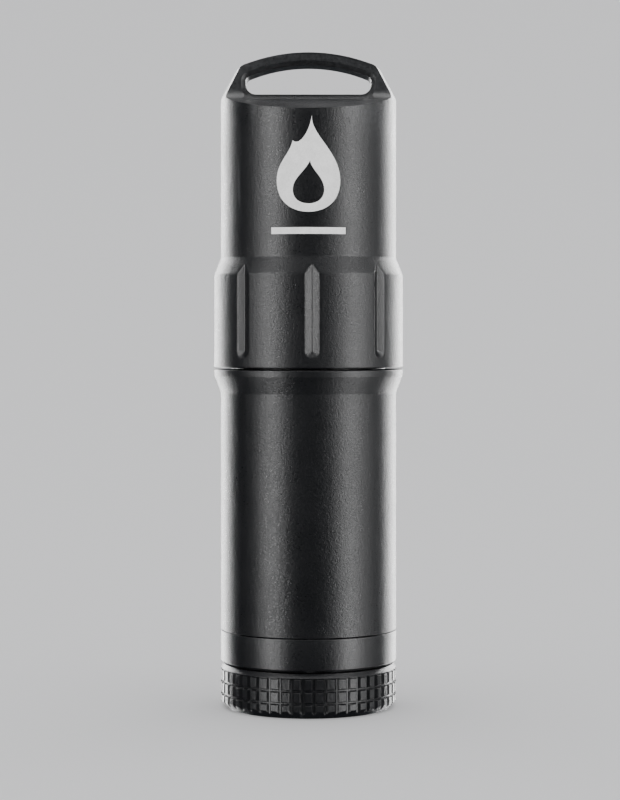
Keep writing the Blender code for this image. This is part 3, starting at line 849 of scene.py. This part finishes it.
fscrew = lathe("flint_screw_slotted", fillet([(0, 18.3), (0.95, 18.3, 0.1), (1.0, 18.1, 0.05), (1.0, 14.5, 0.05), (1.0, 13.9, 0.05),
                                             (2.65, 13.9, 0.18), (2.65, 11.9, 0.25), (0, 11.9)], closed=False), 64, closed=False)
cut(fscrew, ridges("c", 1.0, 1.2, 0.34, 0.10, 14.5, 17.7, 0.5, 1, segs=32, bury=0.1), "UNION")
slot_box = prism("c", [(-4, 11.0), (4, 11.0), (4, 12.8), (-4, 12.8)], 0.35, lambda u, v, w: (u, w, v))
cut(fscrew, slot_box)
fscrew.data.shade_smooth()
fscrew.data.set_sharp_from_angle(angle=math.radians(40))
dress(place(fscrew, WX), "brass", "flint_screw_body", ("flint_screw",))

# ------------------------------------------------------------------ wick
sleeve = lathe("wick_sleeve_brass", fillet([(1.25, 57.3, 0.1), (1.45, 57.56, 0.1), (1.72, 57.56, 0.12), (1.86, 57.3, 0.12), (1.74, 57.0, 0.12),
                                            (1.60, 56.85, 0.1), (1.60, 45.0, 0.1), (1.25, 45.0, 0.1)]), 64)
dress(place(sleeve, KX), "brass", "barrel", ("wick_sleeve",))


def wick_mesh():
    """A braided cotton wick: strands cross in two directions, and the top is a little frayed."""
    cols, z0, z1 = 48, 22.75, 60.55
    rows_z = [z0 + (z1 - z0) * i / 300 for i in range(301)]
    verts, idx = [], []
    for z in rows_z:
        row = []
        for k in range(cols):
            a = math.tau * k / cols
            u, v = 4 * a / math.tau, z / 2.1
            s1, s2 = abs(math.sin(math.pi * (u * 1.0 + v))), abs(math.sin(math.pi * (u * 1.0 - v)))
            over = math.sin(math.pi * 2 * (u * 0.5)) * math.sin(math.pi * 2 * v * 0.5)
            r = 0.93 + 0.10 * max(s1, s2) - 0.05 * (1 - min(s1, s2)) * 0.5 + 0.02 * over
            r += 0.03 * noise.noise(Vector((math.cos(a) * 4, math.sin(a) * 4, z * 3.0)))
            if z > 57.6:
                f = (z - 57.6) / (z1 - 57.6)
                r *= 1.0 + 0.02 * f + 0.05 * f * noise.noise(Vector((math.cos(a) * 5, math.sin(a) * 5, 2.0)))
            r = min(r, 1.03)
            row.append(len(verts))
            verts.append((r * math.cos(a), r * math.sin(a), z))
        idx.append(row)
    faces = []
    for a, b in zip(idx, idx[1:]):
        for i in range(cols):
            j = (i + 1) % cols
            faces.append((a[i], a[j], b[j], b[i]))
    # ends: rings closing in, with tufts on top
    last = idx[-1]
    for step, (shrink, lift) in enumerate(((0.86, 0.05), (0.62, -0.02), (0.34, 0.06))):
        row = []
        for k in range(cols):
            x, y, z = verts[idx[-1][k]] if step == 0 else verts[last[k]]
            a = math.tau * k / cols
            tuft = 0.10 * noise.noise(Vector((math.cos(a) * 6 * shrink, math.sin(a) * 6 * shrink, 7.0)))
            row.append(len(verts))
            verts.append((0.98 * shrink * math.cos(a), 0.98 * shrink * math.sin(a), z1 + lift - 0.06 + tuft))
        for i in range(cols):
            j = (i + 1) % cols
            faces.append((last[i], last[j], row[j], row[i]))
        last = row
    c = len(verts)
    verts.append((0, 0, z1))
    faces += [(last[i], last[(i + 1) % cols], c) for i in range(cols)]
    c = len(verts)
    verts.append((0, 0, z0))
    faces += [(idx[0][(i + 1) % cols], idx[0][i], c) for i in range(cols)]
    return obj_from("wick_braid", verts, faces, sharp=80)


wick = wick_mesh()
dress(place(wick, KX), "wick", "barrel", ("wick",))


# ------------------------------------------------------------------ wadding and felt
def pad(name, z0, z1, r, lump, seed, holes, node, mat, round_=1.0):
    """A soft puck of cotton, lumpy all over, with holes for the tube and the wick."""
    prof = fillet([(0, z1), (r, z1, round_), (r, z0, round_), (0, z0)], closed=False)
    fullp = []
    for p, q in zip(prof, prof[1:]):
        d = math.hypot(p[0] - q[0], p[1] - q[1])
        k = max(1, int(d / 0.55))
        fullp += [(p[0] + (q[0] - p[0]) * i / k, p[1] + (q[1] - p[1]) * i / k) for i in range(k)]
    fullp.append(prof[-1])
    ob = lathe(name, fullp, 96, closed=False)
    mid = Vector((0, 0, (z0 + z1) / 2 * 0.001))
    for v in ob.data.vertices:
        p = v.co * 1000
        n = noise.noise(Vector((p.x, p.y, p.z)) * 0.55 + Vector((seed, 0, 0))) * 0.7 + \
            noise.noise(Vector((p.x, p.y, p.z)) * 1.7 + Vector((0, seed, 0))) * 0.3
        v.co += (v.co - mid).normalized() * (n - 0.55) * lump * 0.001
    for x, hr in holes:
        cut(ob, place(lathe("c", [(0, z1 + 1), (hr, z1 + 1), (hr, z0 - 1), (0, z0 - 1)], 28, closed=False), x))
    ob.data.shade_smooth()
    ob.data.set_sharp_from_angle(angle=math.radians(60))
    dress(ob, mat, "barrel", (node,))
    return ob


pad("wadding_pad_upper", 30.2, 38.0, 8.1, 0.5, 3.1, ((WX, 2.2), (KX, 1.35)), "wadding_upper", "wad")
pad("wadding_pad_middle", 22.6, 29.9, 8.1, 0.5, 7.7, ((WX, 2.2), (KX, 1.35)), "wadding_middle", "wad")
pad("wadding_pad_lower", 16.9, 22.3, 8.1, 0.5, 12.4, ((WX, 2.2),), "wadding_lower", "wad")
pad("felt_disc", 14.2, 16.6, 8.1, 0.12, 5.5, ((WX, 2.2),), "felt_pad", "felt", 0.3)


# ------------------------------------------------------------------ printed mark
def wrap(name, outline, hole=(), r_in=10.924, r_out=10.936):
    """A flat outline (x, z) on the cap's front, as a thin printed layer wrapped round the barrel."""
    bm = bmesh.new()
    es = []
    for loop in (outline, hole):
        vs = [bm.verts.new((x, 0.0, z)) for x, z in loop]
        es += [bm.edges.new((vs[i], vs[(i + 1) % len(vs)])) for i in range(len(vs))]
    bmesh.ops.triangle_fill(bm, use_beauty=True, edges=es)
    x0, x1 = min(x for x, _ in outline), max(x for x, _ in outline)
    x = math.floor(x0 / 0.3) * 0.3
    while x < x1:
        bmesh.ops.bisect_plane(bm, geom=bm.verts[:] + bm.edges[:] + bm.faces[:], dist=1e-5, plane_co=(x, 0, 0), plane_no=(1, 0, 0))
        x += 0.3
    faces = bm.faces[:]
    ext = bmesh.ops.extrude_face_region(bm, geom=faces)
    top = {v for v in ext["geom"] if isinstance(v, bmesh.types.BMVert)}
    for v in bm.verts:
        r = r_out if v in top else r_in
        a = v.co.x / R_BODY
        v.co = Vector((r * math.sin(a), -r * math.cos(a), v.co.z)) * 0.001
    bmesh.ops.recalc_face_normals(bm, faces=bm.faces)
    me = bpy.data.meshes.new(name)
    bm.to_mesh(me)
    bm.free()
    ob = bpy.data.objects.new(name, me)
    sc.collection.objects.link(ob)
    me.shade_smooth()
    me.set_sharp_from_angle(angle=math.radians(40))
    return ob


def bezier(p0, p1, p2, p3, n=14):
    out = []
    for i in range(n):
        t = i / n
        s = 1 - t
        out.append(tuple(s ** 3 * a + 3 * s * s * t * b + 3 * s * t * t * c + t ** 3 * d for a, b, c, d in zip(p0, p1, p2, p3)))
    return out


n = Nodes("white_print")
f, g = n.noise(5200, 2.0, 0.6), n.noise(800, 2.0, 0.5)
M["print"] = n.put(color=n.mix(n.remap(n.math("ADD", f, g), 0.75, 1.25, 0.0, 1.0), (0.70, 0.70, 0.69), (0.84, 0.84, 0.83)),
                   rough=0.55, normal=n.bump(f, 0.25, 0.006))
# a plain flame: one drop outline, with a smaller drop left open inside it
CX, CZ = 0.0, 62.6
flame = bezier((0.4, 10.0), (0.2, 7.6), (3.9, 5.6), (3.9, 2.2)) + bezier((3.9, 2.2), (3.9, -0.4), (2.0, -1.6), (0.0, -1.6)) + \
    bezier((0.0, -1.6), (-2.0, -1.6), (-3.9, -0.4), (-3.9, 2.2)) + bezier((-3.9, 2.2), (-3.9, 4.4), (-2.3, 5.2), (-1.9, 7.0)) + \
    bezier((-1.9, 7.0), (-1.2, 6.2), (0.1, 7.8), (0.4, 10.0))
inner = bezier((0.2, 4.6), (0.3, 3.4), (1.9, 2.6), (1.9, 1.1)) + bezier((1.9, 1.1), (1.9, -0.1), (1.0, -0.6), (0.0, -0.6)) + \
    bezier((0.0, -0.6), (-1.0, -0.6), (-1.9, -0.1), (-1.9, 1.1)) + bezier((-1.9, 1.1), (-1.9, 2.5), (-0.4, 3.2), (0.2, 4.6))
mark = wrap("flame_mark", [(x + CX, z + CZ) for x, z in flame], [(x + CX, z + CZ) for x, z in inner])
dress(mark, "print", "cap_body")
bar = wrap("mark_bar", [(-4.6, 58.35), (4.6, 58.35), (4.6, 59.15), (-4.6, 59.15)])
dress(bar, "print", "cap_body")

# ------------------------------------------------------------------ stage
bowl = [(0.0, 0.0), (0.08, 0.0), (0.18, 0.0), (0.26, 0.0)]
bowl += [(0.26 + 1.3 * math.sin(math.radians(t)), 1.3 - 1.3 * math.cos(math.radians(t))) for t in range(2, 91, 2)] + [(1.56, 2.6)]
me = bpy.data.meshes.new("floor")
bm = bmesh.new()
rings_ = []
for r, z in bowl:
    if r == 0.0:
        rings_.append([bm.verts.new((0, 0, z - 0.00002))])
    else:
        rings_.append([bm.verts.new((r * math.cos(math.tau * k / 96), r * math.sin(math.tau * k / 96), z - 0.00002)) for k in range(96)])
for a_, b_ in zip(rings_, rings_[1:]):
    for k in range(96):
        j = (k + 1) % 96
        bm.faces.new((a_[0], b_[k], b_[j]) if len(a_) == 1 else (a_[k], b_[k], b_[j], a_[j]))
bm.to_mesh(me)
bm.free()
me.shade_smooth()
floor = bpy.data.objects.new("floor", me)
sc.collection.objects.link(floor)
fm = bpy.data.materials.new("pale_floor")
fm.use_nodes = True
fb = fm.node_tree.nodes["Principled BSDF"]
fb.inputs["Base Color"].default_value = (0.62, 0.62, 0.63, 1)
fb.inputs["Roughness"].default_value = 0.9
fb.inputs["Specular IOR Level"].default_value = 0.1
fb.inputs["Emission Color"].default_value = (1, 1, 1, 1)
fb.inputs["Emission Strength"].default_value = 0.23
floor.data.materials.append(fm)
floor.visible_glossy = False
# the floor stays under the filler plug, so the plug is in sight when it is screwed out
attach(floor, "plug_travel_body")
apart = bpy.data.collections.new("not_lit_by_the_strips")
apart.objects.link(floor)
apart.collection_objects[0].light_linking.link_state = "EXCLUDE"

world = bpy.data.worlds.new("studio")
sc.world = world
world.use_nodes = True
bg = world.node_tree.nodes["Background"]
bg.inputs["Color"].default_value = (0.82, 0.93, 1.12, 1)
bg.inputs["Strength"].default_value = 0.05


def area(name, at, to, w, h, power, color=(1, 1, 1)):
    d = bpy.data.lights.new(name, "AREA")
    d.shape = "RECTANGLE"
    d.size, d.size_y = w, h
    d.energy = power
    d.color = color
    o = bpy.data.objects.new(name, d)
    sc.collection.objects.link(o)
    o.location = at
    o.rotation_euler = (Vector(to) - Vector(at)).to_track_quat("-Z", "Y").to_euler()
    o.visible_camera = False
    if name != "top":
        o.light_linking.receiver_collection = apart
    return o


def polar(deg, dist, z):
    """A place round the object: 0 is at the camera, positive to the right."""
    a = math.radians(deg)
    return (dist * math.sin(a), -dist * math.cos(a), z)


target = (0, 0, 0.042)
area("front_left", polar(-49.5, 0.30, 0.046), target, 0.084, 0.50, 1.12)
area("front_right", polar(55, 0.30, 0.046), target, 0.105, 0.50, 1.14)
area("side_right", polar(84, 0.34, 0.046), target, 0.12, 0.50, 0.22)
area("rim_left", polar(-147, 0.50, 0.06), target, 0.21, 0.70, 6.4)
area("rim_right", polar(146, 0.50, 0.06), target, 0.24, 0.70, 7.0)
area("top", (0, 0.1, 1.3), (0, 0.1, 0), 1.2, 1.2, 14.0)

cam_data = bpy.data.cameras.new("camera")
cam = bpy.data.objects.new("camera", cam_data)
sc.collection.objects.link(cam)
cam.location = (0.0, -0.2874, 0.0468)
cam.rotation_euler = (math.pi / 2, 0, 0)
cam_data.sensor_width = 36.0
cam_data.lens = 103.66
cam_data.shift_x, cam_data.shift_y = 0.0019, -0.0875
cam_data.clip_start, cam_data.clip_end = 0.01, 20.0
sc.camera = cam
